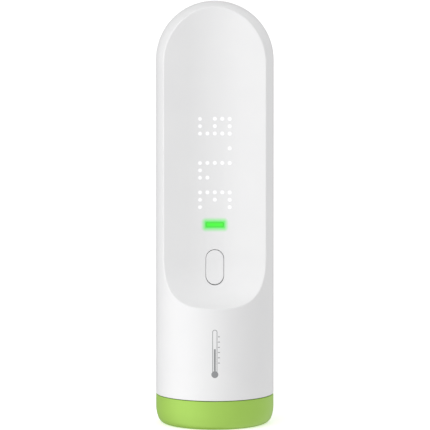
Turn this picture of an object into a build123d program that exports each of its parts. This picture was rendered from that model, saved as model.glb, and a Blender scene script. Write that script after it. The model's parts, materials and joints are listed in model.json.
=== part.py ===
"""A contactless forehead thermometer: a domed tube with a scooped front that holds the display and
the button, a sensor end that looks down, and a coloured cap that pulls off it.

Millimetres. +Z is up, the origin is the middle of the cap's flat underside, and the scooped front
faces -Y. The case is one moulded tube. Its frame goes in from below, is screwed to two posts in the
tube, and carries the main board, the two cells and the sensor end.
"""

import os
from math import asin, cos, degrees, hypot, radians, sin, sqrt, tan

from build123d import *

# ---------------------------------------------------------------- driving dimensions
# Case
body_diameter = 33.4
overall_height = 120.6
wall = 1.4
seam_gap = 0.18  # open line between the case and the cap
rim_round = 0.4  # rounding where the scoop meets the outside
edge_round = 0.2  # small rounding of moulded edges
post_radius = 2.1  # every screw post

# Scoop in the front
floor_depth = 5.5  # from the axis forward to the middle of the scoop's floor
lip_height = 34.95  # where the scoop runs out of the front
bend_radius = 13.0  # bend between the upright floor and the ramp
bend_turn = 80.0  # degrees from upright to the ramp
channel_half = 7.1  # half width of the rounded middle of the floor
channel_slope = 13.8  # degrees that the floor's sides lean forward

# Cap
cap_height = 8.4
cap_wall = 1.75
cap_step = 0.03  # cap radius under the case's
cap_bow_start = 5.0  # the side is upright above this and draws in below it
cap_bow_radius = 9.0
cap_foot_round = 2.6
cap_floor = 1.8

# Sensor end
nose_recess = 0.8  # from the cap's floor up to the nose's face
nose_clearance = 0.15  # between the nose and the cap around it
collar_clearance = 0.1  # between the nose's collar and the case
collar_lift = 0.42  # from the case's bottom edge up to the nose's collar
collar_length = 4.3
nose_wall = 2.0
nose_plate = 2.2
cup_mouth_radius = 7.0
cup_throat_radius = 3.6
cup_depth = 5.0
cup_wall = 0.8
cup_flange = 1.2
cup_flange_height = 0.6
cup_play = 0.05
sensor_can_radius = 4.15
sensor_can_height = 3.0
sensor_can_wall = 0.35
aperture_radius = 2.8
header_thickness = 0.6
sensor_board_thickness = 0.8
ring_section = 1.0  # thickness of the rubber grip ring

# Cells and their bay
cell_diameter = 10.5
cell_length = 44.5
nub_length = 1.0
nub_diameter = 3.8
cell_gap = 0.4  # between the two cells
cell_clearance = 0.85  # between the cells and the case
bay_bottom = 38.6
bay_wall = 1.0
contact_thickness = 0.4
contact_inset = 1.25  # a contact plate's edge inside its cell's
contact_tab = 2.4
spring_height = 4.0
spring_wire = 0.6
spring_inset = 1.85  # a spring's widest turn inside its cell's edge

# Battery door
door_half_width = 11.5
door_margin = 0.6  # from the bay's floor down to the opening's edge
door_gap = 0.2
door_corner = 3.0
hook_length = 3.0
hook_width = 3.0
hook_thickness = 1.0
leg_width = 3.0
leg_thickness = 1.2
dip_radius = 6.0
dip_depth = 0.8

# Inner frame
frame_clearance = 0.3
base_thickness = 1.6
spine_thickness = 1.2
spine_half_width = 12.8
spine_headroom = 15.0  # from its top to the top of the dome
part_gap = 0.25  # between neighbours that only lie beside each other

# Main board and what is on it
board_thickness = 1.0
board_half_width = 11.0
board_headroom = 11.0  # from its top to the top of the dome
board_lift = 2.5  # from the frame's base to its bottom edge
dot_pitch = 2.1
dot_columns = 5
dot_rows = 13
display_height = 75.1  # middle of the display
cell_bore = 1.3  # light cell in the baffle
film_thickness = 0.1
baffle_margin = 1.6
status_height = 57.45  # middle of the status light
status_width = 5.25
status_bar = 1.5
processor_size = 6.0
radio_width = 13.0
radio_length = 15.0
flex_width = 5.0
flex_thickness = 0.15

# Button
button_width = 5.08
button_length = 9.6
button_height = 45.4  # middle of the button
button_gap = 0.08  # beside the button
button_end_gap = 0.2  # over and under it
button_lip = 0.9
button_round = 0.25
switch_height = 1.6
plunger_radius = 0.95
plunger_play = 0.05

# Screws: self-tapping
screw_radius = 0.9
screw_play = 0.02  # a pilot bore over its screw
screw_clear = 0.2  # a plain hole over its screw
head_radius = 1.8
head_height = 1.2
slot_width = 0.45
case_screw_offset = 8.0
case_screw_lift = 4.1  # above the bay's top wall
board_screw_offset = 9.0
board_screw_height = 30.0

# Vibration motor
motor_radius = 2.0
motor_length = 8.0
motor_left = -6.0
motor_forward = 8.5
motor_lift = 3.8  # its axis above the frame's base
sleeve_thickness = 0.7
sleeve_length = 5.0
shaft_radius = 0.4
shaft_play = 0.04
weight_radius = 2.3
weight_length = 3.2
weight_gap = 0.6
lead_radius = 0.25

# ---------------------------------------------------------------- worked out from them
body_radius = body_diameter / 2
inner_radius = body_radius - wall
case_bottom = cap_height + seam_gap
dome_centre = overall_height - body_radius
floor_inside = floor_depth - wall
ramp_slope = tan(radians(90 - bend_turn))
bend_forward = bend_radius * (1 - cos(radians(bend_turn)))
bend_drop = bend_radius * sin(radians(bend_turn))
bend_top = lip_height + bend_drop + (body_radius - floor_depth - bend_forward) * ramp_slope

cap_radius = body_radius - cap_step
cap_bow_turn = degrees(asin(cap_bow_start / cap_bow_radius))
nose_face = cap_floor + nose_recess
spigot_radius = cap_radius - cap_wall - nose_clearance
collar_radius = inner_radius - collar_clearance
bore_radius = spigot_radius - nose_wall
nose_screw_circle = bore_radius - head_radius - 0.1
collar_bottom = case_bottom + collar_lift
nose_top = collar_bottom + collar_length
cup_top = nose_face + cup_depth
can_bottom = cup_top + 0.2
can_top = can_bottom + sensor_can_height
sensor_board_bottom = nose_top - sensor_board_thickness
base_top = nose_top + base_thickness

cell_offset = (cell_diameter + cell_gap) / 2
contact_width = cell_diameter - 2 * contact_inset
cell_reach = inner_radius - cell_clearance - cell_diameter / 2
cell_depth = sqrt(cell_reach**2 - cell_offset**2)
bay_top = bay_bottom + 2 * contact_thickness + spring_height + cell_length
frame_radius = inner_radius - frame_clearance
bay_half_width = cell_offset + cell_diameter / 2 + part_gap + bay_wall
bay_side_reach = sqrt(frame_radius**2 - bay_half_width**2) - 0.3
bay_end_reach = cell_depth + contact_width / 2

spine_back = cell_depth - cell_diameter / 2 - part_gap
spine_front = spine_back - spine_thickness
spine_top = overall_height - spine_headroom
board_back = spine_front
board_front = board_back - board_thickness
board_bottom = base_top + board_lift
board_top = overall_height - board_headroom

film_front = film_thickness - floor_inside
baffle_front = film_front + film_thickness
dot_span_x = (dot_columns - 1) * dot_pitch
dot_span_z = (dot_rows - 1) * dot_pitch
baffle_width = dot_span_x + 2 * baffle_margin
baffle_height = dot_span_z + 2 * baffle_margin
processor_height = display_height + baffle_height / 2 + 2.2 + processor_size / 2

case_screw_height = bay_top + bay_wall + case_screw_lift
case_screw_spots = [(-case_screw_offset, case_screw_height), (case_screw_offset, case_screw_height)]
board_screw_spots = [
    (-board_screw_offset, board_screw_height),
    (board_screw_offset, board_screw_height),
    (0.0, board_top - 9.0),
]
door_bottom = bay_bottom - door_margin
door_top = case_screw_height + head_radius + 1.2
door_middle = (door_bottom + door_top) / 2

button_back = 0.7 - floor_inside
switch_front = board_front - switch_height
motor_height = base_top + motor_lift
sleeve_radius = motor_radius + sleeve_thickness
motor_right = motor_left + motor_length
weight_left = motor_right + weight_gap


def across(y):
    """A sketch plane across the case at y, seen from the front: sketch X is +X, sketch Y is +Z, and
    an extrusion goes forward, or back with a negative amount."""
    return Plane(origin=(0, y, 0), x_dir=(1, 0, 0), z_dir=(0, -1, 0))


def scoop_tool(behind):
    """The solid that hollows the case's front: one channel section moved, never turned, down the
    upright floor, round the bend and out along the ramp. A value of behind sets its floor back."""
    tool_top = overall_height + 10
    tool_front = -3 * body_radius
    floor_y = behind - floor_depth
    crown_radius = channel_half / sin(radians(channel_slope))
    with BuildPart() as tool:
        with BuildLine(Plane.YZ) as path:
            drop = Line((floor_y, tool_top), (floor_y, bend_top))
            bend = JernArc(drop @ 1, (0, -1), bend_radius + behind, -bend_turn)
            PolarLine(bend @ 1, 1.5 * body_radius, direction=bend % 1)
        with BuildSketch(Plane.XY.offset(tool_top)) as section:
            with BuildLine():
                crown = CenterArc(
                    (0, floor_y - crown_radius), crown_radius, 90 - channel_slope, 2 * channel_slope
                )
                right = PolarLine(crown @ 0, body_radius, direction=-(crown % 0))
                left = PolarLine(crown @ 1, body_radius, direction=crown % 1)
                Polyline(right @ 1, ((right @ 1).X, tool_front), ((left @ 1).X, tool_front), left @ 1)
            make_face()
        sweep(sections=section.sketch, path=path.line, normal=(0, 0, 1))
    return tool.part


def domed_bar(radius, bottom):
    """A bar with a half ball for its top, about the case's axis."""
    with BuildPart() as bar:
        with BuildSketch(Plane.XZ):
            with BuildLine():
                foot = Polyline(
                    (0, dome_centre + radius), (0, bottom), (radius, bottom), (radius, dome_centre)
                )
                RadiusArc(foot @ 1, foot @ 0, -radius)
            make_face()
        revolve(axis=Axis.Z)
    return bar.part


def samples(edge):
    return [edge.position_at(share / 4) for share in range(5)]


def on_outside(edge):
    """True for an edge that lies on the case's outer surface, dome included."""
    return all(
        abs((p - Vector(0, 0, min(p.Z, dome_centre))).length - body_radius) < 0.001 for p in samples(edge)
    )


def on_button_side(edge):
    """True for an edge that lies on the button's upright sides."""
    half_straight = (button_length - button_width) / 2
    return all(
        abs(hypot(p.X, max(abs(p.Z - button_height) - half_straight, 0)) - button_width / 2) < 0.001
        for p in samples(edge)
    )


os.makedirs("parts", exist_ok=True)
scoop = scoop_tool(0.0)
scoop_flush = scoop_tool(0.03)
scoop_middle = scoop_tool(wall / 2)
scoop_inside = scoop_tool(wall)
scoop_clear = scoop_tool(wall + 0.1)
outer_bar = domed_bar(body_radius, case_bottom)
cavity = domed_bar(inner_radius, 0.0) - scoop_inside

# ---------------------------------------------------------------- case
with BuildPart() as case_posts:
    with BuildSketch(across(spine_front)):
        with Locations(*case_screw_spots):
            Circle(post_radius)
    extrude(amount=2 * floor_depth)
    add(scoop_middle, mode=Mode.SUBTRACT)

with BuildPart() as main_shell:
    add(outer_bar)
    add(scoop, mode=Mode.SUBTRACT)
    rim = main_shell.edges().filter_by(on_outside)
    fillet(rim.filter_by(lambda e: e.center().Y < -floor_depth and e.center().Z > case_bottom + 1), rim_round)
    fillet(main_shell.edges().filter_by(GeomType.CIRCLE).sort_by(Axis.Z)[0], edge_round)
    add(cavity, mode=Mode.SUBTRACT)
    add(case_posts.part)
    # Pilot bores in the posts
    with BuildSketch(across(spine_front)):
        with Locations(*case_screw_spots):
            Circle(screw_radius + screw_play)
    extrude(amount=spine_front + floor_inside + 0.4, mode=Mode.SUBTRACT)
    # Button hole and status light slot
    with BuildSketch(across(0)):
        with Locations((0, button_height)):
            SlotOverall(button_length + 2 * button_end_gap, button_width + 2 * button_gap, rotation=90)
        with Locations((0, status_height)):
            RectangleRounded(status_width, status_bar, status_bar * 0.3)
    extrude(amount=body_radius, mode=Mode.SUBTRACT)
    # Battery opening in the back
    with BuildSketch(across(0)):
        with Locations((0, door_middle)):
            RectangleRounded(2 * door_half_width, door_top - door_bottom, door_corner)
    extrude(amount=-body_radius - 1, mode=Mode.SUBTRACT)
    # Fingernail dip above the door
    with Locations((0, body_radius + dip_radius - dip_depth, door_top + 1.0)):
        Sphere(dip_radius, mode=Mode.SUBTRACT)
main_shell.part.label = "main_shell"
export_step(main_shell.part, "parts/main_shell.step")

# ---------------------------------------------------------------- battery door
door_foot = door_bottom + door_gap
hook_outer = sqrt(inner_radius**2 - (hook_width + 1.0) ** 2) - door_gap
leg_bottom = bay_top + bay_wall + door_gap + 0.1

with BuildPart() as battery_door:
    with BuildSketch(Plane.XY.offset(door_foot)):
        Circle(body_radius)
        Circle(inner_radius, mode=Mode.SUBTRACT)
    extrude(amount=door_top - door_bottom - 2 * door_gap)
    with BuildSketch(across(0)):
        with Locations((0, door_middle)):
            RectangleRounded(
                2 * (door_half_width - door_gap),
                door_top - door_bottom - 2 * door_gap,
                door_corner - door_gap,
            )
    extrude(amount=-body_radius - 1, mode=Mode.INTERSECT)
    with Locations((0, body_radius + dip_radius - dip_depth, door_top + 1.0)):
        Sphere(dip_radius, mode=Mode.SUBTRACT)
    # Two hooks that reach down behind the case's wall
    for hook_left in (1.0, -1.0 - hook_width):
        with BuildSketch(Plane.YZ.offset(hook_left)):
            with BuildLine():
                Polyline(
                    (inner_radius + 0.1, door_foot + hook_thickness + 1.6),
                    (hook_outer - hook_thickness, door_foot + hook_thickness),
                    (hook_outer - hook_thickness, door_foot - hook_length),
                    (hook_outer, door_foot - hook_length),
                    (hook_outer, door_foot + 0.2),
                    (inner_radius + 0.1, door_foot + 0.2),
                    close=True,
                )
            make_face()
        extrude(amount=hook_width)
    # Two legs that rest on the bay's top wall and hold the door by friction
    with BuildSketch(Plane.XY.offset(leg_bottom)):
        with Locations((-5.0, bay_end_reach + 1.5), (5.0, bay_end_reach + 1.5)):
            Rectangle(leg_width, 6.0)
        Circle(inner_radius + 0.3, mode=Mode.INTERSECT)
    extrude(amount=leg_thickness)
battery_door.part.label = "battery_door"
export_step(battery_door.part, "parts/battery_door.step")

# ---------------------------------------------------------------- cap
with BuildPart() as protective_cap:
    with BuildSketch(Plane.XZ):
        with BuildLine():
            bow = JernArc((cap_radius, cap_bow_start), (0, -1), cap_bow_radius, -cap_bow_turn)
            Polyline(
                bow @ 1,
                (0, 0),
                (0, cap_floor),
                (cap_radius - cap_wall, cap_floor),
                (cap_radius - cap_wall, cap_height),
                (cap_radius, cap_height),
                bow @ 0,
            )
        make_face()
    revolve(axis=Axis.Z)
    fillet(protective_cap.edges().filter_by(GeomType.CIRCLE).group_by(Axis.Z)[0], cap_foot_round)
    inner_corner = protective_cap.edges().filter_by(GeomType.CIRCLE)
    fillet(inner_corner.filter_by(lambda e: abs(e.center().Z - cap_floor) < 0.001), 0.9)
    fillet(protective_cap.edges().filter_by(GeomType.CIRCLE).group_by(Axis.Z)[-1], edge_round)
protective_cap.part.label = "protective_cap"
export_step(protective_cap.part, "parts/protective_cap.step")

# ---------------------------------------------------------------- sensor end
groove_bottom = cap_radius - cap_wall - 0.05 - ring_section
ring_height = (nose_face + case_bottom) / 2 + 0.2
flange_radius = cup_mouth_radius + cup_flange

with BuildPart() as sensor_nose:
    with BuildSketch(Plane.XZ):
        with BuildLine():
            Polyline(
                (flange_radius - 0.6, nose_face),
                (spigot_radius, nose_face),
                (spigot_radius, ring_height - ring_section * 0.6),
                (groove_bottom, ring_height - ring_section * 0.6),
                (groove_bottom, ring_height + ring_section * 0.6),
                (spigot_radius, ring_height + ring_section * 0.6),
                (spigot_radius, collar_bottom),
                (collar_radius, collar_bottom),
                (collar_radius, nose_top),
                (bore_radius, nose_top),
                (bore_radius, nose_face + nose_plate),
                (flange_radius - 0.6, nose_face + nose_plate),
                close=True,
            )
        make_face()
    revolve(axis=Axis.Z)
    fillet(sensor_nose.edges().filter_by(GeomType.CIRCLE).group_by(Axis.Z)[0].sort_by(SortBy.RADIUS)[-1], 0.8)
    # Seat for the reflector's flange
    with BuildSketch(Plane.XY.offset(nose_face)):
        Circle(flange_radius + cup_play)
    extrude(amount=cup_flange_height, mode=Mode.SUBTRACT)
    # Screw posts, with recessed heads that the cap hides
    with BuildSketch(Plane.XY.offset(nose_face + nose_plate)):
        with PolarLocations(nose_screw_circle, 3, 90):
            Circle(post_radius)
    extrude(amount=sensor_board_bottom - nose_face - nose_plate)
    with Locations(Plane.XY.offset(nose_face)):
        with PolarLocations(nose_screw_circle, 3, 90):
            with Locations(Plane.XY.rotated((180, 0, 0))):
                CounterBoreHole(screw_radius + screw_clear, head_radius + 0.1, head_height + 0.2, 20)
sensor_nose.part.label = "sensor_nose"
export_step(sensor_nose.part, "parts/sensor_nose.step")

with BuildPart() as cap_grip_ring:
    with BuildSketch(Plane.XZ):
        with Locations((groove_bottom + ring_section / 2, ring_height)):
            Circle(ring_section / 2)
    revolve(axis=Axis.Z)
cap_grip_ring.part.label = "cap_grip_ring"
export_step(cap_grip_ring.part, "parts/cap_grip_ring.step")

with BuildPart() as sensor_cup:
    socket_radius = sensor_can_radius + cup_play
    with BuildSketch(Plane.XZ):
        with BuildLine():
            outline = Polyline(
                (cup_mouth_radius, nose_face),
                (flange_radius, nose_face),
                (flange_radius, nose_face + cup_flange_height),
                (flange_radius - 0.7, nose_face + cup_flange_height),
                (flange_radius - 0.7, nose_face + nose_plate),
                (socket_radius + cup_wall, cup_top),
                (socket_radius + cup_wall, can_top),
                (socket_radius, can_top),
                (socket_radius, can_bottom),
                (cup_throat_radius, can_bottom),
                (cup_throat_radius, cup_top - 0.4),
            )
            RadiusArc(outline @ 1, outline @ 0, cup_mouth_radius)
        make_face()
    revolve(axis=Axis.Z)
sensor_cup.part.label = "sensor_cup"
export_step(sensor_cup.part, "parts/sensor_cup.step")

with BuildPart() as sensor_can:
    with BuildSketch(Plane.XY.offset(can_bottom)):
        Circle(sensor_can_radius)
    extrude(amount=sensor_can_height)
    with BuildSketch(Plane.XY.offset(can_bottom + sensor_can_wall)):
        Circle(sensor_can_radius - sensor_can_wall)
    extrude(amount=sensor_can_height, mode=Mode.SUBTRACT)
    with BuildSketch(Plane.XY.offset(can_bottom)):
        Circle(aperture_radius)
    extrude(amount=sensor_can_wall, mode=Mode.SUBTRACT)
sensor_can.part.label = "sensor_can"
export_step(sensor_can.part, "parts/sensor_can.step")

with BuildPart() as sensor_window:
    with BuildSketch(Plane.XY.offset(can_bottom + sensor_can_wall)):
        Circle(aperture_radius + 0.6)
    extrude(amount=0.5)
sensor_window.part.label = "sensor_window"
export_step(sensor_window.part, "parts/sensor_window.step")

with BuildPart() as sensor_header:
    with BuildSketch(Plane.XY.offset(can_top)):
        Circle(sensor_can_radius + 0.45)
    extrude(amount=header_thickness)
    with BuildSketch(Plane.XY.offset(can_top + header_thickness)):
        with PolarLocations(2.54, 4, 45):
            Circle(0.22)
    extrude(amount=sensor_board_bottom - can_top - header_thickness)
sensor_header.part.label = "sensor_header"
export_step(sensor_header.part, "parts/sensor_header.step")

with BuildPart() as thermopile_chip:
    with BuildSketch(Plane.XY.offset(can_top - 0.5)):
        Rectangle(3.2, 3.2)
    extrude(amount=0.5)
thermopile_chip.part.label = "thermopile_chip"
export_step(thermopile_chip.part, "parts/thermopile_chip.step")

with BuildPart() as sensor_board:
    with BuildSketch(Plane.XY.offset(sensor_board_bottom)):
        Circle(bore_radius - part_gap)
        with PolarLocations(nose_screw_circle, 3, 90):
            Circle(screw_radius + screw_clear, mode=Mode.SUBTRACT)
    extrude(amount=sensor_board_thickness)
sensor_board.part.label = "sensor_board"
export_step(sensor_board.part, "parts/sensor_board.step")

with BuildPart() as ambient_sensor:
    with BuildSketch(Plane.XY.offset(sensor_board_bottom)):
        with Locations((-6.2, 2.0)):
            Rectangle(1.6, 0.8)
    extrude(amount=-0.6)
ambient_sensor.part.label = "ambient_sensor"
export_step(ambient_sensor.part, "parts/ambient_sensor.step")

with BuildPart() as nose_screws:
    head_bottom = nose_face + 0.2
    with BuildSketch(Plane.XY.offset(head_bottom)):
        with PolarLocations(nose_screw_circle, 3, 90):
            Circle(head_radius)
    extrude(amount=head_height)
    with BuildSketch(Plane.XY.offset(head_bottom + head_height)):
        with PolarLocations(nose_screw_circle, 3, 90):
            Circle(screw_radius)
    extrude(amount=base_top + 3.4 - head_bottom - head_height)
    with BuildSketch(Plane.XY.offset(head_bottom)):
        with PolarLocations(nose_screw_circle, 3, 90):
            Rectangle(head_radius, slot_width)
            Rectangle(slot_width, head_radius)
    extrude(amount=head_height * 0.55, mode=Mode.SUBTRACT)
nose_screws.part.label = "nose_screws"
export_step(nose_screws.part, "parts/nose_screws.step")

# ---------------------------------------------------------------- inner frame
spine_step = case_screw_height + head_radius + 1.7

with BuildPart() as inner_frame:
    # Base that sits on the nose
    with BuildSketch(Plane.XY.offset(nose_top)):
        Circle(frame_radius)
    extrude(amount=base_thickness)
    # Posts over the nose's screws
    with BuildSketch(Plane.XY.offset(base_top)):
        with PolarLocations(nose_screw_circle, 3, 90):
            Circle(post_radius)
    extrude(amount=4.0)
    # Spine between the board and the cells
    with BuildSketch(across(spine_back)):
        with Locations((0, (nose_top + spine_step) / 2)):
            Rectangle(2 * spine_half_width, spine_step - nose_top)
        with Locations((0, (base_top + spine_top) / 2)):
            Rectangle(2 * (spine_half_width - 2), spine_top - base_top)
    extrude(amount=spine_thickness)
    # Bay walls: two ends and two sides, kept inside the case
    for end_bottom in (bay_bottom - bay_wall, bay_top):
        with BuildSketch(Plane.XY.offset(end_bottom)):
            with Locations((0, (spine_back + bay_end_reach) / 2)):
                Rectangle(2 * bay_half_width, bay_end_reach - spine_back)
            Circle(frame_radius, mode=Mode.INTERSECT)
        extrude(amount=bay_wall)
    with BuildSketch(Plane.XY.offset(bay_bottom)):
        for side in (-1, 1):
            with Locations((side * (bay_half_width - bay_wall / 2), (spine_back + bay_side_reach) / 2)):
                Rectangle(bay_wall, bay_side_reach - spine_back)
    extrude(amount=bay_top - bay_bottom)
    # Ribs that brace the spine on its base
    for side in (-1, 1):
        with BuildSketch(Plane.YZ.offset(side * 6.0 - 0.6)):
            with BuildLine():
                Polyline(
                    (spine_back, base_top),
                    (frame_radius - 3, base_top),
                    (spine_back, bay_bottom - 4),
                    close=True,
                )
            make_face()
        extrude(amount=1.2)
    # Posts behind the board's screws
    with BuildSketch(across(spine_back)):
        with Locations(*board_screw_spots):
            Circle(post_radius)
    extrude(amount=-2.6)
    # Cradle for the motor
    with BuildSketch(Plane.XY.offset(base_top)):
        with Locations((motor_left + motor_length / 2, -motor_forward)):
            Rectangle(sleeve_length, 2 * sleeve_radius + 1.2)
    extrude(amount=motor_lift - 0.2)
    with BuildSketch(Plane.YZ.offset(motor_left)):
        with Locations((-motor_forward, motor_height)):
            Circle(sleeve_radius)
    extrude(amount=motor_length, mode=Mode.SUBTRACT)
    # Slot for the flex cable
    with BuildSketch(Plane.XY.offset(nose_top)):
        with Locations((0, board_front - 2.0)):
            SlotOverall(11.0, 5.4)
    extrude(amount=base_thickness, mode=Mode.SUBTRACT)
    # Pilot bores for the nose's screws and the board's, plain holes for the case's
    with BuildSketch(Plane.XY.offset(nose_top)):
        with PolarLocations(nose_screw_circle, 3, 90):
            Circle(screw_radius + screw_play)
    extrude(amount=base_thickness + 4.0, mode=Mode.SUBTRACT)
    with BuildSketch(across(spine_front)):
        with Locations(*board_screw_spots):
            Circle(screw_radius + screw_play)
        with Locations(*case_screw_spots):
            Circle(screw_radius + screw_clear)
        # Slots for the contacts' tabs
        tab_height = bay_bottom + contact_thickness / 2
        with Locations((-cell_offset, tab_height), (cell_offset, tab_height)):
            Rectangle(contact_tab + 0.2, contact_thickness + 0.4)
    extrude(amount=-spine_thickness - 3.0, mode=Mode.SUBTRACT)
inner_frame.part.label = "inner_frame"
export_step(inner_frame.part, "parts/inner_frame.step")

with BuildPart() as case_screws:
    with BuildSketch(across(spine_back)):
        with Locations(*case_screw_spots):
            Circle(head_radius)
    extrude(amount=-head_height)
    with BuildSketch(across(spine_back)):
        with Locations(*case_screw_spots):
            Circle(screw_radius)
    extrude(amount=spine_back + floor_inside + 0.1)
    with BuildSketch(across(spine_back + head_height)):
        with Locations(*case_screw_spots):
            Rectangle(head_radius, slot_width)
            Rectangle(slot_width, head_radius)
    extrude(amount=head_height * 0.55, mode=Mode.SUBTRACT)
case_screws.part.label = "case_screws"
export_step(case_screws.part, "parts/case_screws.step")

# ---------------------------------------------------------------- cells and contacts
cell_can_length = cell_length - nub_length
left_cell_bottom = bay_bottom + contact_thickness + spring_height
right_cell_top = bay_top - contact_thickness - spring_height


def cell_solid(side, flat_end, direction):
    """One cell: a can with rounded shoulders and a nub. direction is +1 if the nub points up."""
    with BuildPart() as cell:
        with BuildSketch(Plane(origin=(side * cell_offset, cell_depth, flat_end), z_dir=(0, 0, direction))):
            Circle(cell_diameter / 2)
        extrude(amount=cell_can_length)
        fillet(cell.edges().filter_by(GeomType.CIRCLE), 0.4)
        nub_base = flat_end + direction * cell_can_length
        with BuildSketch(Plane(origin=(side * cell_offset, cell_depth, nub_base), z_dir=(0, 0, direction))):
            Circle(nub_diameter / 2)
        extrude(amount=nub_length)
    return cell


battery_left = cell_solid(-1, left_cell_bottom, 1)
battery_left.part.label = "battery_left"
export_step(battery_left.part, "parts/battery_left.step")

battery_right = cell_solid(1, right_cell_top, -1)
battery_right.part.label = "battery_right"
export_step(battery_right.part, "parts/battery_right.step")

with BuildPart() as lower_contacts:
    tab_length = cell_depth - contact_width / 2 - board_back
    with BuildSketch(Plane.XY.offset(bay_bottom)):
        for side in (-1, 1):
            with Locations((side * cell_offset, cell_depth)):
                Rectangle(contact_width, contact_width)
            with Locations((side * cell_offset, board_back + tab_length / 2)):
                Rectangle(contact_tab, tab_length)
    extrude(amount=contact_thickness)
lower_contacts.part.label = "lower_contacts"
export_step(lower_contacts.part, "parts/lower_contacts.step")

with BuildPart() as bridge_contact:
    with BuildSketch(Plane.XY.offset(bay_top - contact_thickness)):
        with Locations((0, cell_depth)):
            RectangleRounded(2 * cell_offset + contact_width, contact_width, 1.0)
    extrude(amount=contact_thickness)
bridge_contact.part.label = "bridge_contact"
export_step(bridge_contact.part, "parts/bridge_contact.step")


def spring_coil():
    """A slightly tapered coil that stands on the XY plane, with its axis on Z."""
    rise = spring_height - spring_wire
    with BuildPart() as coil:
        with BuildLine(Plane.XY.offset(spring_wire / 2)) as turn:
            Helix(rise / 4, rise, cell_diameter / 2 - spring_inset, cone_angle=-14)
        with BuildSketch(Plane(origin=turn.line @ 0, z_dir=turn.line % 0)):
            Circle(spring_wire / 2)
        sweep(path=turn.line, is_frenet=True)
    return coil.part


coil = spring_coil()
left_seat = Location((-cell_offset, cell_depth, bay_bottom + contact_thickness))
right_seat = Location((cell_offset, cell_depth, bay_top - contact_thickness), (180, 0, 0))

with BuildPart() as battery_springs:
    add(coil.moved(left_seat))
    add(coil.moved(right_seat))
battery_springs.part.label = "battery_springs"
export_step(battery_springs.part, "parts/battery_springs.step")

# ---------------------------------------------------------------- main board
with BuildPart() as main_board:
    with BuildSketch(across(board_back)):
        with Locations((0, (board_bottom + board_top) / 2)):
            RectangleRounded(2 * board_half_width, board_top - board_bottom, 4.0)
        with Locations(*case_screw_spots):
            Circle(post_radius + part_gap, mode=Mode.SUBTRACT)
        with Locations(*board_screw_spots):
            Circle(screw_radius + screw_clear, mode=Mode.SUBTRACT)
    extrude(amount=board_thickness)
main_board.part.label = "main_board"
export_step(main_board.part, "parts/main_board.step")

with BuildPart() as board_screws:
    with BuildSketch(across(board_front)):
        with Locations(*board_screw_spots):
            Circle(head_radius)
    extrude(amount=head_height)
    with BuildSketch(across(board_front)):
        with Locations(*board_screw_spots):
            Circle(screw_radius)
    extrude(amount=board_front - spine_back - 2.2)
    with BuildSketch(across(board_front - head_height)):
        with Locations(*board_screw_spots):
            Rectangle(head_radius, slot_width)
            Rectangle(slot_width, head_radius)
    extrude(amount=-head_height * 0.55, mode=Mode.SUBTRACT)
board_screws.part.label = "board_screws"
export_step(board_screws.part, "parts/board_screws.step")

with BuildPart() as display_leds:
    with BuildSketch(across(board_front)):
        with Locations((0, display_height)):
            with GridLocations(dot_pitch, dot_pitch, dot_columns, dot_rows):
                Rectangle(1.0, 0.6)
    extrude(amount=0.5)
display_leds.part.label = "display_leds"
export_step(display_leds.part, "parts/display_leds.step")

with BuildPart() as display_baffle:
    with BuildSketch(across(board_front)):
        with Locations((0, display_height)):
            RectangleRounded(baffle_width, baffle_height, 0.8)
            with GridLocations(dot_pitch, dot_pitch, dot_columns, dot_rows):
                Circle(cell_bore / 2, mode=Mode.SUBTRACT)
    extrude(amount=board_front - baffle_front)
display_baffle.part.label = "display_baffle"
export_step(display_baffle.part, "parts/display_baffle.step")

with BuildPart() as diffuser_film:
    with BuildSketch(across(baffle_front)):
        with Locations((0, display_height)):
            RectangleRounded(baffle_width, baffle_height, 0.8)
    extrude(amount=film_thickness)
diffuser_film.part.label = "diffuser_film"
export_step(diffuser_film.part, "parts/diffuser_film.step")

with BuildPart() as status_led:
    with BuildSketch(across(board_front)):
        with Locations((0, status_height)):
            Rectangle(3.0, 1.2)
    extrude(amount=0.6)
status_led.part.label = "status_led"
export_step(status_led.part, "parts/status_led.step")

with BuildPart() as status_light_pipe:
    with BuildSketch(across(board_front - 0.8)):
        with Locations((0, status_height)):
            RectangleRounded(status_width - 0.06, status_bar - 0.06, status_bar * 0.3)
    extrude(amount=body_radius)
    add(scoop_flush, mode=Mode.SUBTRACT)
    with BuildSketch(across(0.8 - floor_inside)):
        with Locations((0, status_height)):
            RectangleRounded(status_width + 1.4, status_bar + 1.2, 0.6)
    extrude(amount=0.75)
status_light_pipe.part.label = "status_light_pipe"
export_step(status_light_pipe.part, "parts/status_light_pipe.step")

radio_bottom = board_bottom + 4.0

with BuildPart() as radio_board:
    with BuildSketch(across(board_front)):
        with Locations((0, radio_bottom + radio_length / 2)):
            Rectangle(radio_width, radio_length)
    extrude(amount=0.8)
radio_board.part.label = "radio_board"
export_step(radio_board.part, "parts/radio_board.step")

with BuildPart() as radio_shield:
    with BuildSketch(across(board_front - 0.8)):
        with Locations((0, radio_bottom + 6.2)):
            RectangleRounded(radio_width - 1.4, 11.0, 0.6)
    extrude(amount=1.6)
    fillet(radio_shield.faces().sort_by(Axis.Y)[0].edges(), 0.3)
radio_shield.part.label = "radio_shield"
export_step(radio_shield.part, "parts/radio_shield.step")

with BuildPart() as microcontroller:
    with BuildSketch(across(board_front)):
        with Locations((0, processor_height)):
            Rectangle(processor_size, processor_size)
    extrude(amount=0.9)
    chamfer(microcontroller.edges().filter_by(Axis.Y).sort_by(Axis.X)[0], 0.4)
microcontroller.part.label = "microcontroller"
export_step(microcontroller.part, "parts/microcontroller.step")

with BuildPart() as antenna_strip:
    with BuildSketch(across(board_front)):
        with Locations((0, board_top - 3.6)):
            RectangleRounded(15.0, 3.2, 0.5)
    extrude(amount=0.6)
antenna_strip.part.label = "antenna_strip"
export_step(antenna_strip.part, "parts/antenna_strip.step")

connector_bottom = board_bottom + 0.7

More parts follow.
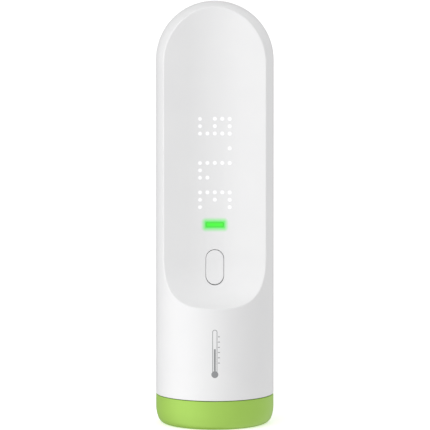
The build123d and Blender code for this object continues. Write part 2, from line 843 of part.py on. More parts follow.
with BuildPart() as flex_connector:
    with BuildSketch(across(board_front)):
        with Locations((0, connector_bottom + 1.0)):
            Rectangle(flex_width + 1.6, 2.0)
    extrude(amount=1.2)
flex_connector.part.label = "flex_connector"
export_step(flex_connector.part, "parts/flex_connector.step")

with BuildPart() as sensor_flex_cable:
    flex_line = board_front - 0.6
    flex_start = nose_top + flex_thickness / 2
    with BuildSketch(Plane.YZ):
        with BuildLine() as flex_path:
            FilletPolyline(
                (flex_line - 3.2, flex_start),
                (flex_line, flex_start),
                (flex_line, connector_bottom),
                radius=1.2,
            )
        trace(flex_path.line, flex_thickness)
    extrude(amount=flex_width / 2, both=True)
sensor_flex_cable.part.label = "sensor_flex_cable"
export_step(sensor_flex_cable.part, "parts/sensor_flex_cable.step")

# ---------------------------------------------------------------- button and switch
with BuildPart() as button_flange:
    with BuildSketch(across(button_back)):
        with Locations((0, button_height)):
            SlotOverall(button_length + 2 * button_lip, button_width + 2 * button_lip, rotation=90)
    extrude(amount=body_radius)
    add(scoop_clear, mode=Mode.SUBTRACT)

with BuildPart() as power_button:
    with BuildSketch(across(button_back)):
        with Locations((0, button_height)):
            SlotOverall(button_length, button_width, rotation=90)
    extrude(amount=body_radius)
    add(scoop, mode=Mode.SUBTRACT)
    sides = power_button.edges().filter_by(on_button_side).filter_by(Axis.Y, reverse=True)
    fillet(sides.filter_by(lambda e: e.center().Y < button_back - 0.5), button_round)
    add(button_flange.part)
    # Nub that presses on the switch
    with BuildSketch(across(button_back)):
        with Locations((0, button_height)):
            Circle(1.3)
    extrude(amount=-0.5)
power_button.part.label = "power_button"
export_step(power_button.part, "parts/power_button.step")

with BuildPart() as tact_switch:
    with BuildSketch(across(board_front)):
        with Locations((0, button_height)):
            Rectangle(6.0, 3.6)
    extrude(amount=switch_height)
    with BuildSketch(across(switch_front)):
        with Locations((0, button_height)):
            Circle(plunger_radius + plunger_play)
    extrude(amount=-1.1, mode=Mode.SUBTRACT)
tact_switch.part.label = "tact_switch"
export_step(tact_switch.part, "parts/tact_switch.step")

with BuildPart() as switch_plunger:
    with BuildSketch(across(button_back + 0.5)):
        with Locations((0, button_height)):
            Circle(plunger_radius)
    extrude(amount=button_back - switch_front)
switch_plunger.part.label = "switch_plunger"
export_step(switch_plunger.part, "parts/switch_plunger.step")

# ---------------------------------------------------------------- vibration motor
with BuildPart() as motor_can:
    with BuildSketch(Plane.YZ.offset(motor_left)):
        with Locations((-motor_forward, motor_height)):
            Circle(motor_radius)
    extrude(amount=motor_length)
    with BuildSketch(Plane.YZ.offset(motor_right)):
        with Locations((-motor_forward, motor_height)):
            Circle(shaft_radius + shaft_play)
    extrude(amount=-2.0, mode=Mode.SUBTRACT)
motor_can.part.label = "motor_can"
export_step(motor_can.part, "parts/motor_can.step")

with BuildPart() as motor_sleeve:
    with BuildSketch(Plane.YZ.offset(motor_left + (motor_length - sleeve_length) / 2)):
        with Locations((-motor_forward, motor_height)):
            Circle(sleeve_radius)
            Circle(motor_radius, mode=Mode.SUBTRACT)
    extrude(amount=sleeve_length)
motor_sleeve.part.label = "motor_sleeve"
export_step(motor_sleeve.part, "parts/motor_sleeve.step")

with BuildPart() as motor_shaft:
    with BuildSketch(Plane.YZ.offset(motor_right - 1.8)):
        with Locations((-motor_forward, motor_height)):
            Circle(shaft_radius)
    extrude(amount=1.8 + weight_gap + weight_length + 0.4)
motor_shaft.part.label = "motor_shaft"
export_step(motor_shaft.part, "parts/motor_shaft.step")

with BuildPart() as eccentric_weight:
    with BuildSketch(Plane.YZ.offset(weight_left)):
        with Locations((-motor_forward, motor_height)):
            Circle(weight_radius)
        with Locations((-motor_forward, motor_height + weight_radius / 2 + 0.8)):
            Rectangle(2 * weight_radius, weight_radius, mode=Mode.SUBTRACT)
        with Locations((-motor_forward, motor_height)):
            Circle(shaft_radius, mode=Mode.SUBTRACT)
    extrude(amount=weight_length)
eccentric_weight.part.label = "eccentric_weight"
export_step(eccentric_weight.part, "parts/eccentric_weight.step")


def lead_solid(sideways, arrival):
    """One of the motor's leads: out of the can, up, and back to the board."""
    lead_y = -motor_forward + sideways
    elbow_x = motor_left - 1.8
    with BuildPart() as lead:
        with BuildLine() as route:
            FilletPolyline(
                (motor_left, lead_y, motor_height),
                (elbow_x, lead_y, motor_height),
                (elbow_x, lead_y, arrival),
                (elbow_x, board_front, arrival),
                radius=1.2,
            )
        with BuildSketch(Plane(origin=(motor_left, lead_y, motor_height), z_dir=(-1, 0, 0))):
            Circle(lead_radius)
        sweep(path=route.line)
    return lead.part


lower_lead = lead_solid(0.45, motor_height + 4.2)
upper_lead = lead_solid(-0.45, motor_height + 5.4)

with BuildPart() as motor_leads:
    add(lower_lead)
    add(upper_lead)
motor_leads.part.label = "motor_leads"
export_step(motor_leads.part, "parts/motor_leads.step")
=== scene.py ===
"""A contactless forehead thermometer with its cap on, standing on a pale floor in soft light: a domed
white tube, a scooped front with a dot display, a lit bar and a push button, and a green cap.

Metres. +Z is up and the scooped front faces -Y. Each section below is one piece or group of pieces."""

import json

from math import cos, pi, radians, sin

import bmesh
import bpy
from mathutils import Matrix, Vector

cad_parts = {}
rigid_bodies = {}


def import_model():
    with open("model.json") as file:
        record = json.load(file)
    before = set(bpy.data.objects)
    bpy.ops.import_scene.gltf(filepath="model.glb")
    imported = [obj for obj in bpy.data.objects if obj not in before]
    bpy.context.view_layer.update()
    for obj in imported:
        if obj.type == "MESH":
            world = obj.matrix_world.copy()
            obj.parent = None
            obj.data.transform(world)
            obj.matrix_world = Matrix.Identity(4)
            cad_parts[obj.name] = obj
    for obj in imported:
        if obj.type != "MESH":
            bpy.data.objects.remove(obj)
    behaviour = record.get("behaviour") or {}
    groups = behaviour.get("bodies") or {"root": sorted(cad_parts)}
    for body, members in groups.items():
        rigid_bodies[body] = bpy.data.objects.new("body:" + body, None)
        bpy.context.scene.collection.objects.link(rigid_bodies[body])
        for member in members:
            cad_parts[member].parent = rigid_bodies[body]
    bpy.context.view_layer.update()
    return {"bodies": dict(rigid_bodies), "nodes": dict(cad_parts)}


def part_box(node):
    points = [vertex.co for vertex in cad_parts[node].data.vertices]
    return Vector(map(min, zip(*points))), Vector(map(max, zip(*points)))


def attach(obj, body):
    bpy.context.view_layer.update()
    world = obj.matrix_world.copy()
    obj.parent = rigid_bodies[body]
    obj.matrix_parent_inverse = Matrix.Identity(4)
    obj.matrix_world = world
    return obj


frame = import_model()
nodes = frame["nodes"]
mm = 0.001

# ---------------------------------------------------------------- Case
# The tube and the battery door are moulded in one white ABS. The mould is spark-eroded, so the skin
# has a fine satin grain. The bar's green light is painted a little way into the wall round it, as
# colour and glow, and a small thermometer sign is pad-printed in grey low on the front.


def material(name, colour, roughness, metallic=0.0):
    """A node material with its shader's plain values set, ready for a pattern."""
    made = bpy.data.materials.new(name)
    made.use_nodes = True
    shader = shader_of(made)
    shader.inputs["Base Color"].default_value = (*colour, 1)
    shader.inputs["Roughness"].default_value = roughness
    shader.inputs["Metallic"].default_value = metallic
    return made


def shader_of(made):
    return made.node_tree.nodes["Principled BSDF"]


def add(made, kind, feeds, **settings):
    """A new node. Settings are its own properties; feeds are its inputs' values, or the outputs that
    reach them."""
    new = made.node_tree.nodes.new("ShaderNode" + kind)
    for key, value in settings.items():
        setattr(new, key, value)
    for key, value in feeds.items():
        if isinstance(value, bpy.types.NodeSocket):
            made.node_tree.links.new(value, new.inputs[key])
        else:
            new.inputs[key].default_value = value
    return new


def sums(made, operation, *values):
    return add(made, "Math", dict(enumerate(values)), operation=operation).outputs[0]


def ramp(made, value, start, end, low, high, smooth=False):
    """The value carried from start..end to low..high, and held at those limits."""
    feeds = {"Value": value, "From Min": start, "From Max": end, "To Min": low, "To Max": high}
    kind = "SMOOTHSTEP" if smooth else "LINEAR"
    return add(made, "MapRange", feeds, interpolation_type=kind).outputs["Result"]


def here(made):
    """The point being shaded, in the thermometer's own frame."""
    return add(made, "TexCoord", {}).outputs["Object"]


def noise(made, size, detail=2.0):
    """Soft random mottle from 0 to 1, its blotches about this size."""
    feeds = {"Vector": here(made), "Scale": 1 / size, "Detail": detail}
    return add(made, "TexNoise", feeds).outputs["Fac"]


def mottle(made, size, low, high, detail=2.0, spread=0.2):
    """Noise carried to low..high. Nearly all of it lies within this spread of a half."""
    return ramp(made, noise(made, size, detail), 0.5 - spread, 0.5 + spread, low, high)


def away_from(made, centre):
    """The step from a centre to the shaded point."""
    return add(made, "VectorMath", {0: here(made), 1: centre}, operation="SUBTRACT").outputs[0]


def steps_from(made, centre):
    """That step as three separate lengths."""
    return add(made, "SeparateXYZ", {0: away_from(made, centre)}).outputs


def reach(made, first, second):
    """The length of a step that goes this far one way and this far square to it."""
    step = add(made, "CombineXYZ", {"X": first, "Y": second}).outputs[0]
    return add(made, "VectorMath", {0: step}, operation="LENGTH").outputs["Value"]


def past_box(made, centre, half):
    """How far the shaded point is outside a box, 0 inside it."""
    size = add(made, "VectorMath", {0: away_from(made, centre)}, operation="ABSOLUTE").outputs[0]
    over = add(made, "VectorMath", {0: size, 1: half}, operation="SUBTRACT").outputs[0]
    kept = add(made, "VectorMath", {0: over, 1: (0, 0, 0)}, operation="MAXIMUM").outputs[0]
    return add(made, "VectorMath", {0: kept}, operation="LENGTH").outputs["Value"]


def blend(made, amount, first, second):
    """A colour: first where the amount is 0, second where it is 1."""
    new = add(made, "Mix", {0: amount}, data_type="RGBA")
    for socket, colour in ((new.inputs[6], first), (new.inputs[7], second)):
        if isinstance(colour, bpy.types.NodeSocket):
            made.node_tree.links.new(colour, socket)
        else:
            socket.default_value = (*colour, 1)
    return new.outputs[2]


def set_input(made, name, output):
    made.node_tree.links.new(output, shader_of(made).inputs[name])


def two_tone(made, amount, first, second):
    set_input(made, "Base Color", blend(made, amount, first, second))


def glow(made, colour):
    """The light that the surface gives off by itself."""
    set_input(made, "Emission Color", colour)
    shader_of(made).inputs["Emission Strength"].default_value = 1.0


def relief(made, height, depth):
    """Gives the surface a relief of this depth, up where the height is 1."""
    feeds = {"Height": height, "Distance": depth, "Strength": 1.0}
    set_input(made, "Normal", add(made, "Bump", feeds).outputs["Normal"])


def satin_skin(made, roughness, spread, grain, depth):
    """An eroded mould's skin: fine grain, and a gloss that varies a little over the piece."""
    patch = 1.5 * mm
    set_input(made, "Roughness", mottle(made, patch, roughness - spread, roughness + spread))
    relief(made, noise(made, grain, 3.0), depth)


def dress(made, *names):
    """Gives these CAD nodes the material."""
    for name in names:
        slots = nodes[name].data.materials
        slots.clear()
        slots.append(made)


black = (0, 0, 0)
white = (0.83, 0.83, 0.835)
white_satin = 0.42
white_grain = 0.16 * mm
white_grain_depth = 0.0025 * mm
case_white = material("case_white", white, white_satin)
satin_skin(case_white, white_satin, 0.03, white_grain, white_grain_depth)
cloud = mottle(case_white, 9 * mm, 0, 1)
case_colour = blend(case_white, cloud, (0.825, 0.825, 0.83), (0.84, 0.84, 0.843))

# The bar's light painted into the case, as green in its colour and a green glow: full at the bar's
# edge, gone a little over a millimetre from it.
bar_low, bar_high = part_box("status_light_pipe")
bar_centre = (bar_low + bar_high) / 2
bar_half = Vector((2.54, 5.0, 0.74)) * mm
painted_light_reach = 1.4 * mm
painted_light_full = 0.97
painted_bar_light = ramp(case_white, past_box(case_white, bar_centre, bar_half), 0, painted_light_reach, painted_light_full, 0)
# Painted light: the case's colour turns green near the bar, and the wall glows green there.
case_colour = blend(case_white, painted_bar_light, case_colour, (0.05, 0.75, 0.06))
glow(case_white, blend(case_white, painted_bar_light, black, (0.02, 0.17, 0.02)))

# The printed sign: a tube outline with a bulb, a column in it and a scale beside it.
sign_foot = 16.2 * mm
sign_top = 28.3 * mm
outline_half = 0.09 * mm
tube_radius = 0.62 * mm
bulb_radius = 0.98 * mm
column_radius = 0.26 * mm
column_top = sign_foot + 0.6 * (sign_top - sign_foot)
tick_pitch = 1.5 * mm
tick_half = 0.11 * mm
tick_middle = 1.16 * mm
tick_half_length = 0.28 * mm
scale_middle = (sign_foot + sign_top) / 2 + 0.9 * mm
scale_half = 5.0 * mm
front_only = -12 * mm
ink = (0.22, 0.225, 0.235)
ink_cover = 0.9

across, ahead, up = steps_from(case_white, (0, 0, 0))
on_axis = add(case_white, "Clamp", {"Value": up, "Min": sign_foot, "Max": sign_top}).outputs[0]
off_axis = reach(case_white, across, sums(case_white, "SUBTRACT", up, on_axis))
outline = sums(case_white, "COMPARE", off_axis, tube_radius, outline_half)
in_column = sums(case_white, "LESS_THAN", off_axis, column_radius)
column = sums(case_white, "MULTIPLY", in_column, sums(case_white, "LESS_THAN", up, column_top))
off_bulb = reach(case_white, across, sums(case_white, "SUBTRACT", up, sign_foot))
bulb = sums(case_white, "LESS_THAN", off_bulb, bulb_radius)
off_tick = sums(case_white, "PINGPONG", up, tick_pitch / 2)
on_tick = sums(case_white, "LESS_THAN", off_tick, tick_half)
beside_tube = sums(case_white, "COMPARE", across, tick_middle, tick_half_length)
on_scale = sums(case_white, "COMPARE", up, scale_middle, scale_half)
ticks = sums(case_white, "MULTIPLY", on_tick, sums(case_white, "MULTIPLY", beside_tube, on_scale))
sign = outline
for mark in (column, bulb, ticks):
    sign = sums(case_white, "MAXIMUM", sign, mark)
sign = sums(case_white, "MULTIPLY", sign, sums(case_white, "LESS_THAN", ahead, front_only))
two_tone(case_white, sums(case_white, "MULTIPLY", sign, ink_cover), case_colour, ink)
dress(case_white, "main_shell", "battery_door")

# ---------------------------------------------------------------- Push button
# An oval cap in the case's own white, a shade smoother where fingers rub it, that presses a red
# plunger into a small tactile switch on the main board.
button_white = material("button_white", (0.835, 0.835, 0.84), 0.40)
satin_skin(button_white, 0.40, 0.03, 0.14 * mm, 0.0018 * mm)
dress(button_white, "power_button")

plunger_red = material("plunger_red", (0.55, 0.05, 0.03), 0.5)
satin_skin(plunger_red, 0.5, 0.05, 0.08 * mm, 0.002 * mm)
dress(plunger_red, "switch_plunger")

# ---------------------------------------------------------------- Status light
# A clear acrylic bar carries the green of the light below it to the front. Its face is brightest in
# the middle and dims a little at its moulded edge.
light_green = material("light_green", (0.02, 0.06, 0.02), 0.25)
dim_edge = 0.55 * mm
bright_half = bar_half - Vector((dim_edge, 0, dim_edge))
edge_share = ramp(
    light_green, past_box(light_green, bar_centre, bright_half), 0, dim_edge, 0, 1, smooth=True
)
glow(light_green, blend(light_green, edge_share, (0.045, 0.90, 0.025), (0.06, 0.66, 0.045)))
relief(light_green, noise(light_green, 0.4 * mm), 0.002 * mm)
dress(light_green, "status_light_pipe")

# ---------------------------------------------------------------- Dot display
# Five columns of small lights shine through the thin floor of the scoop. A black baffle keeps each
# light to its own dot, and a frosted film softens it, so a lit dot is a soft-edged spot. The
# reading runs up the case, so its figures lie on their side.
reading = (
    "x.xxx",
    "x.x.x",
    "xxxxx",
    ".....",
    "....x",
    ".....",
    "xxxxx",
    "x....",
    "xx...",
    ".....",
    "xxxxx",
    "x.x.x",
    "x...x",
)
dot_pitch = 2.1 * mm
dot_reach = 0.85 * mm
dot_proud = 0.012 * mm
dot_core = 0.15 * mm
dot_fade = 0.74 * mm
display_low, display_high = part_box("display_baffle")
display = (display_low + display_high) / 2
first_column = display.x - (len(reading[0]) - 1) / 2 * dot_pitch
first_row = display.z + (len(reading) - 1) / 2 * dot_pitch


def floor_behind(x, z):
    """How far back the scoop's floor is at x, z."""
    found, place, _, _ = nodes["main_shell"].ray_cast(Vector((x, -0.1, z)), Vector((0, 1, 0)))
    if not found:
        raise ValueError("there is no case behind this dot")
    return place.y


def finish_mesh(name, shape, made):
    """Ends a bmesh: its doubles merged, its faces outwards, and its object at the origin."""
    bmesh.ops.remove_doubles(shape, verts=shape.verts, dist=1e-7)
    bmesh.ops.recalc_face_normals(shape, faces=shape.faces)
    for face in shape.faces:
        face.smooth = True
    mesh = bpy.data.meshes.new(name)
    shape.to_mesh(mesh)
    shape.free()
    mesh.materials.append(made)
    piece = bpy.data.objects.new(name, mesh)
    bpy.context.scene.collection.objects.link(piece)
    return piece


dot_light = material("dot_light", white, white_satin)
along_row, _, along_column = steps_from(dot_light, (first_column, 0, first_row))
off_dot = reach(
    dot_light,
    sums(dot_light, "WRAP", along_row, dot_pitch / 2, -dot_pitch / 2),
    sums(dot_light, "WRAP", along_column, dot_pitch / 2, -dot_pitch / 2),
)
spot = ramp(dot_light, off_dot, dot_core, dot_fade, 1, 0, smooth=True)
glow(dot_light, blend(dot_light, spot, black, (0.36, 0.36, 0.37)))
satin_skin(dot_light, white_satin, 0.03, white_grain, white_grain_depth)

dots = bmesh.new()
upright = Matrix.Rotation(pi / 2, 3, "X")
lit = [
    (row, place) for row, marks in enumerate(reading) for place, mark in enumerate(marks) if mark == "x"
]
for row, place in lit:
    dot = bmesh.ops.create_uvsphere(dots, u_segments=24, v_segments=8, radius=dot_reach)["verts"]
    bmesh.ops.scale(dots, vec=(1, 1, dot_proud / dot_reach), verts=dot)
    bmesh.ops.rotate(dots, cent=(0, 0, 0), matrix=upright, verts=dot)
    dot_middle = (first_column + place * dot_pitch, 0, first_row - row * dot_pitch)
    bmesh.ops.translate(dots, vec=dot_middle, verts=dot)
    # The thin rim is a crease, so that the face shades flat out to it.
    for edge in {edge for corner in dot for edge in corner.link_edges}:
        edge.smooth = any(abs(corner.co.y) > 0.01 * dot_proud for corner in edge.verts)
    # Then the whole dot is laid on the scoop's floor.
    for corner in dot:
        corner.co.y += floor_behind(corner.co.x, corner.co.z)
display_dots = finish_mesh("display_dots", dots, dot_light)
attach(display_dots, "handset")

baffle_black = material("baffle_black", (0.02, 0.02, 0.021), 0.7)
satin_skin(baffle_black, 0.7, 0.06, 0.12 * mm, 0.006 * mm)
dress(baffle_black, "display_baffle")

film_white = material("film_white", (0.88, 0.89, 0.90), 0.55)
satin_skin(film_white, 0.55, 0.05, 0.05 * mm, 0.003 * mm)
dress(film_white, "diffuser_film")

# Each light is a resin body, mottled paler and darker in spots about half a millimetre across.
light_resin = material("light_resin", (0.86, 0.82, 0.62), 0.28)
lens = mottle(light_resin, 0.5 * mm, 0, 1, spread=0.15)
two_tone(light_resin, lens, (0.80, 0.74, 0.50), (0.90, 0.88, 0.74))
relief(light_resin, noise(light_resin, 0.2 * mm), 0.002 * mm)
dress(light_resin, "display_leds", "status_led")

# ---------------------------------------------------------------- End cap
# A cup of lime polypropylene that pulls off the sensor end. Its skin is satin and a shade waxier than
# the case, a little pearl in the resin deepens its shading, and handling has rubbed its foot smoother.
cap_pearl = 0.15
cap_green = material("cap_green", (0.375, 0.62, 0.10), 0.40, cap_pearl)
shader_of(cap_green).inputs["Specular IOR Level"].default_value = 0.4
two_tone(cap_green, mottle(cap_green, 6 * mm, 0, 1), (0.370, 0.612, 0.098), (0.380, 0.628, 0.102))
cap_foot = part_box("protective_cap")[0].z
rubbed_height = 3.5 * mm
above_foot = steps_from(cap_green, (0, 0, cap_foot))[2]
rubbed = ramp(cap_green, above_foot, 0, rubbed_height, 0.05, 0, smooth=True)
cap_skin = mottle(cap_green, 1.2 * mm, 0.40, 0.46)
set_input(cap_green, "Roughness", sums(cap_green, "SUBTRACT", cap_skin, rubbed))
relief(cap_green, noise(cap_green, 0.18 * mm, 3.0), 0.003 * mm)
dress(cap_green, "protective_cap")

# ---------------------------------------------------------------- Sensor end
# A grey nose carries a bright turned cup that narrows to the infrared sensor, and a soft black ring
# that the cap grips. The sensor is a nickel can with a dark window, on a small board of its own.
nose_grey = material("nose_grey", (0.032, 0.034, 0.037), 0.5)
satin_skin(nose_grey, 0.5, 0.05, 0.14 * mm, 0.005 * mm)
dress(nose_grey, "sensor_nose")

ring_black = material("ring_black", (0.012, 0.012, 0.013), 0.62)
satin_skin(ring_black, 0.62, 0.06, 0.3 * mm, 0.004 * mm)
shader_of(ring_black).inputs["Sheen Weight"].default_value = 0.15
dress(ring_black, "cap_grip_ring", "motor_sleeve")


def turned(made, pitch, depth):
    """Fine rings round the upright axis, as a lathe tool leaves."""
    x, y, z = steps_from(made, (0, 0, 0))
    groove = sums(made, "PINGPONG", sums(made, "ADD", reach(made, x, y), z), pitch / 2)
    relief(made, ramp(made, groove, 0, pitch / 2, 0, 1), depth)


cup_metal = material("cup_metal", (0.90, 0.91, 0.92), 0.16, 1.0)
turned(cup_metal, 0.12 * mm, 0.0012 * mm)
set_input(cup_metal, "Roughness", mottle(cup_metal, 0.8 * mm, 0.12, 0.22))
dress(cup_metal, "sensor_cup")

window_dark = material("window_dark", (0.035, 0.025, 0.045), 0.06)
window_tint = mottle(window_dark, 2.5 * mm, 0, 1)
two_tone(window_dark, window_tint, (0.030, 0.020, 0.042), (0.045, 0.034, 0.052))
shader_of(window_dark).inputs["Specular IOR Level"].default_value = 0.9
dress(window_dark, "sensor_window")


def plated(name, colour, roughness, draw):
    """Plated sheet metal, with the faint streaks of drawing or rolling. Draw says how closely the
    streaks lie along each axis."""
    made = material(name, colour, roughness, 1.0)
    stretched = add(made, "Mapping", {"Vector": here(made), "Scale": draw}).outputs[0]
    feeds = {"Vector": stretched, "Scale": 1 / mm, "Detail": 3.0}
    streaks = add(made, "TexNoise", feeds).outputs["Fac"]
    low, high = roughness - 0.07, roughness + 0.09
    set_input(made, "Roughness", ramp(made, streaks, 0.3, 0.7, low, high))
    dull = tuple(0.86 * part for part in colour)
    two_tone(made, noise(made, 1.3 * mm, 3.0), dull, colour)
    relief(made, streaks, 0.0012 * mm)
    return made


upright_draw = (6, 6, 0.5)
level_draw = (0.5, 6, 6)
can_nickel = plated("can_nickel", (0.72, 0.70, 0.65), 0.30, upright_draw)
dress(can_nickel, "sensor_can", "sensor_header", "radio_shield")

chip_black = material("chip_black", (0.014, 0.014, 0.015), 0.55)
chip_grain = noise(chip_black, 0.09 * mm, 3.0)
set_input(chip_black, "Roughness", ramp(chip_black, chip_grain, 0.3, 0.7, 0.48, 0.66))
relief(chip_black, chip_grain, 0.006 * mm)
dress(chip_black, "thermopile_chip", "microcontroller", "ambient_sensor", "tact_switch")

amber = (0.45, 0.17, 0.02)
flex_amber = material("flex_amber", amber, 0.3)
track_pitch = 0.8 * mm
from_track = sums(flex_amber, "PINGPONG", steps_from(flex_amber, (0, 0, 0))[0], track_pitch / 2)
track = ramp(flex_amber, from_track, 0.17 * mm, 0.21 * mm, 0, 1)
two_tone(flex_amber, track, amber, (0.62, 0.30, 0.09))
relief(flex_amber, track, 0.015 * mm)
shader_of(flex_amber).inputs["Coat Weight"].default_value = 0.4
dress(flex_amber, "sensor_flex_cable")

# ---------------------------------------------------------------- Frame
# The white moulded frame that goes in from below and holds everything. It is never seen in use, so
# its mould was left with a plain machined finish, with faint flow marks round its posts.
frame_white = material("frame_white", (0.74, 0.75, 0.76), 0.5)
feeds = {"Vector": here(frame_white), "Scale": 90, "Distortion": 6.0, "Detail": 2.0}
flow = add(frame_white, "TexWave", feeds).outputs["Fac"]
two_tone(frame_white, flow, (0.72, 0.73, 0.74), (0.77, 0.78, 0.79))
set_input(frame_white, "Roughness", ramp(frame_white, flow, 0, 1, 0.46, 0.56))
relief(frame_white, noise(frame_white, 0.25 * mm, 3.0), 0.004 * mm)
dress(frame_white, "inner_frame", "flex_connector")

# ---------------------------------------------------------------- Cells and contacts
# Two AAA cells lie opposite ways. Each is a nickelled steel can in a shrunk film jacket with a
# coppery band at its raised end. Sprung and flat contacts of nickelled steel take their current.


def cell_jacket(name, node, nub_up):
    """A jacket of dark film that stops short of both metal ends, with a band near the nub."""
    band_start = 0.72
    line_at = 0.715
    line_half = 0.3 * mm
    bare_base = 0.5 * mm
    bare_nub = 1.6 * mm
    film = (0.025, 0.032, 0.04)
    low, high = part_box(node)
    length = high.z - low.z
    made = material(name, film, 0.28)
    z = steps_from(made, (0, 0, low.z))[2]
    if not nub_up:
        z = sums(made, "SUBTRACT", length, z)
    band = sums(made, "GREATER_THAN", z, band_start * length)
    line = sums(made, "COMPARE", z, line_at * length, line_half)
    foil = blend(made, line, blend(made, band, film, (0.55, 0.24, 0.10)), (0.80, 0.80, 0.78))
    at_base = sums(made, "LESS_THAN", z, bare_base)
    at_nub = sums(made, "GREATER_THAN", z, length - bare_nub)
    bare = sums(made, "MAXIMUM", at_base, at_nub)
    two_tone(made, bare, foil, (0.72, 0.70, 0.66))
    set_input(made, "Metallic", ramp(made, sums(made, "MAXIMUM", bare, band), 0, 1, 0.1, 1))
    set_input(made, "Roughness", mottle(made, 1.2 * mm, 0.24, 0.34))
    relief(made, noise(made, 3 * mm), 0.03 * mm)
    dress(made, node)


cell_jacket("left_jacket", "battery_left", True)
cell_jacket("right_jacket", "battery_right", False)

contact_nickel = plated("contact_nickel", (0.76, 0.74, 0.70), 0.30, upright_draw)
dress(contact_nickel, "lower_contacts", "bridge_contact", "battery_springs")

# ---------------------------------------------------------------- Circuit boards
# Glass-cloth laminate under green solder mask, with copper tracks that show through it as paler
# lines. The radio sits on a board of its own under a nickel lid, with a ceramic aerial at its foot.


def masked_board(name, node, flat):
    """Solder mask over tracks that run square to each other. Flat is the way the board faces."""
    made = material(name, (0.01, 0.13, 0.06), 0.32)
    first, second = [axis for axis in "XYZ" if axis != flat]
    steps = steps_from(made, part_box(node)[0])
    plane = add(made, "CombineXYZ", {"X": steps[first], "Y": steps[second]}).outputs[0]
    layout = {"Brick Width": 3.1 * mm, "Row Height": 0.9 * mm, "Mortar Size": 0.11 * mm}
    stagger = {"offset": 0.37, "squash": 0.6, "squash_frequency": 3}
    tracks = add(made, "TexBrick", {"Vector": plane, "Scale": 1.0, **layout}, **stagger).outputs["Fac"]
    feeds = {"Vector": here(made), "Scale": 1 / (2.3 * mm)}
    from_pad = add(made, "TexVoronoi", feeds).outputs["Distance"]
    pad = sums(made, "LESS_THAN", from_pad, 0.13)
    mask = blend(made, tracks, (0.008, 0.11, 0.05), (0.022, 0.21, 0.09))
    two_tone(made, pad, mask, (0.70, 0.62, 0.42))
    set_input(made, "Metallic", sums(made, "MULTIPLY", pad, 0.9))
    relief(made, tracks, 0.03 * mm)
    return made


dress(masked_board("board_green", "main_board", "Y"), "main_board", "radio_board")
dress(masked_board("sensor_board_green", "sensor_board", "Z"), "sensor_board")

aerial_cream = material("aerial_cream", (0.80, 0.76, 0.62), 0.45)
fired = mottle(aerial_cream, 0.5 * mm, 0, 1, detail=3.0, spread=0.15)
two_tone(aerial_cream, fired, (0.74, 0.70, 0.56), (0.84, 0.81, 0.69))
relief(aerial_cream, fired, 0.008 * mm)
dress(aerial_cream, "antenna_strip")

# ---------------------------------------------------------------- Vibration motor
# A small drawn can in a rubber sleeve turns a lopsided weight of sintered tungsten. Its two leads, red
# and blue, are soldered to the main board.
motor_nickel = plated("motor_nickel", (0.72, 0.70, 0.66), 0.28, level_draw)
dress(motor_nickel, "motor_can")

weight_grey = material("weight_grey", (0.20, 0.20, 0.21), 0.42, 1.0)
sinter = noise(weight_grey, 0.07 * mm, 4.0)
set_input(weight_grey, "Roughness", ramp(weight_grey, sinter, 0.3, 0.7, 0.34, 0.52))
relief(weight_grey, sinter, 0.008 * mm)
dress(weight_grey, "eccentric_weight")

lead_low, lead_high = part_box("motor_leads")
lead_colours = material("lead_colours", (0.5, 0.02, 0.02), 0.42)
lead_side = steps_from(lead_colours, (lead_low + lead_high) / 2)[2]
lower_lead = sums(lead_colours, "LESS_THAN", lead_side, 0)
two_tone(lead_colours, lower_lead, (0.50, 0.015, 0.015), (0.015, 0.05, 0.36))
relief(lead_colours, noise(lead_colours, 0.3 * mm), 0.006 * mm)
dress(lead_colours, "motor_leads")

# ---------------------------------------------------------------- Screws
# Small zinc-plated self-tapping screws with one slot, and the motor's plain steel shaft.
screw_zinc = plated("screw_zinc", (0.60, 0.61, 0.63), 0.34, (3, 3, 3))
dress(screw_zinc, "case_screws", "board_screws", "nose_screws", "motor_shaft")

# ---------------------------------------------------------------- Floor and light
# The studio: a pale seamless floor, and a white room whose light comes mostly from a wide bank at the
# front left, with dark screens behind it and behind the case, and a faint fill from the right rear.
floor_half = 3.0
floor_shape = bmesh.new()
bmesh.ops.create_grid(floor_shape, x_segments=2, y_segments=2, size=floor_half)
floor_white = material("floor_white", (0.9, 0.9, 0.9), 0.9)
floor_tone = mottle(floor_white, 400 * mm, 0, 1)
two_tone(floor_white, floor_tone, (0.895, 0.895, 0.895), (0.905, 0.905, 0.905))
shader_of(floor_white).inputs["Emission Color"].default_value = (1, 1, 1, 1)
shader_of(floor_white).inputs["Emission Strength"].default_value = 0.45
floor = finish_mesh("floor", floor_shape, floor_white)
floor.visible_diffuse = False
floor.visible_glossy = False
floor.visible_shadow = False
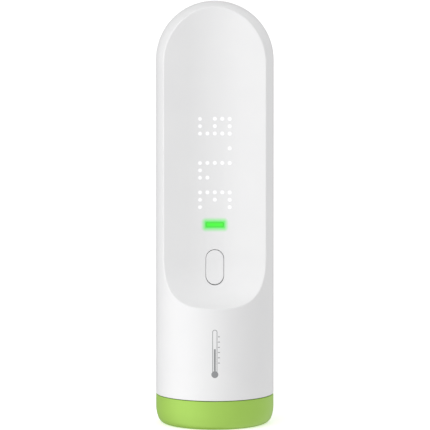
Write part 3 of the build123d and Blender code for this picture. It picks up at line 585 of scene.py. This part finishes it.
# The cap is what stands on the floor, so the floor stays under it when the case is drawn out of it.
floor.parent = frame["bodies"]["cap"]

room = bpy.data.worlds.new("room")
bpy.context.scene.world = room
room.use_nodes = True
room_light = room.node_tree.nodes["Background"]
room_light.inputs["Color"].default_value = (1, 1, 1, 1)
direction = add(room, "SeparateXYZ", {0: add(room, "TexCoord", {}).outputs["Generated"]}).outputs
frontwards = sums(room, "MULTIPLY", direction["Y"], -1.0)
bearing = sums(room, "ARCTAN2", direction["X"], frontwards)


def bank(bearing_at, half_width, strength, lift=0.0):
    """Light that is strongest at one bearing, seen from the front, and fades to none either side. With
    lift it also grows from the ground to overhead."""
    turn = sums(room, "WRAP", sums(room, "SUBTRACT", bearing, radians(bearing_at)), pi, -pi)
    off_middle = sums(room, "ABSOLUTE", turn)
    level = ramp(room, off_middle, 0, radians(half_width), strength, 0, smooth=True)
    rise = sums(room, "MULTIPLY_ADD", direction["Z"], lift, 1.0)
    return sums(room, "MULTIPLY", level, rise)


all_round = 0.71
front_left = bank(-60, 80, 0.81, lift=0.35)
left_screen = bank(-120, 50, -0.55)
rear_fill = bank(140, 100, 0.21)
rear_screen = bank(180, 45, -0.6, lift=-1.0)
brightness = sums(room, "ADD", front_left, all_round)
for light in (left_screen, rear_fill, rear_screen):
    brightness = sums(room, "ADD", brightness, light)
room.node_tree.links.new(brightness, room_light.inputs["Strength"])

# ---------------------------------------------------------------- Camera
# A very long lens a little above the middle of the case, so the tube's sides stay upright.
looking_down = radians(8)
frame_height = 121.9 * mm
aim = Vector((0.05, 0, 59.44)) * mm
focal_length = 1200.0
camera_data = bpy.data.cameras.new("camera")
camera_data.lens = focal_length
camera_data.clip_end = 20
camera = bpy.data.objects.new("camera", camera_data)
bpy.context.scene.collection.objects.link(camera)
back = Vector((0, -cos(looking_down), sin(looking_down)))
camera.location = aim + back * frame_height * focal_length / camera_data.sensor_width
camera.rotation_mode = "QUATERNION"
camera.rotation_quaternion = (-back).to_track_quat("-Z", "Y")
bpy.context.scene.camera = camera
bpy.context.scene.view_settings.view_transform = "Standard"
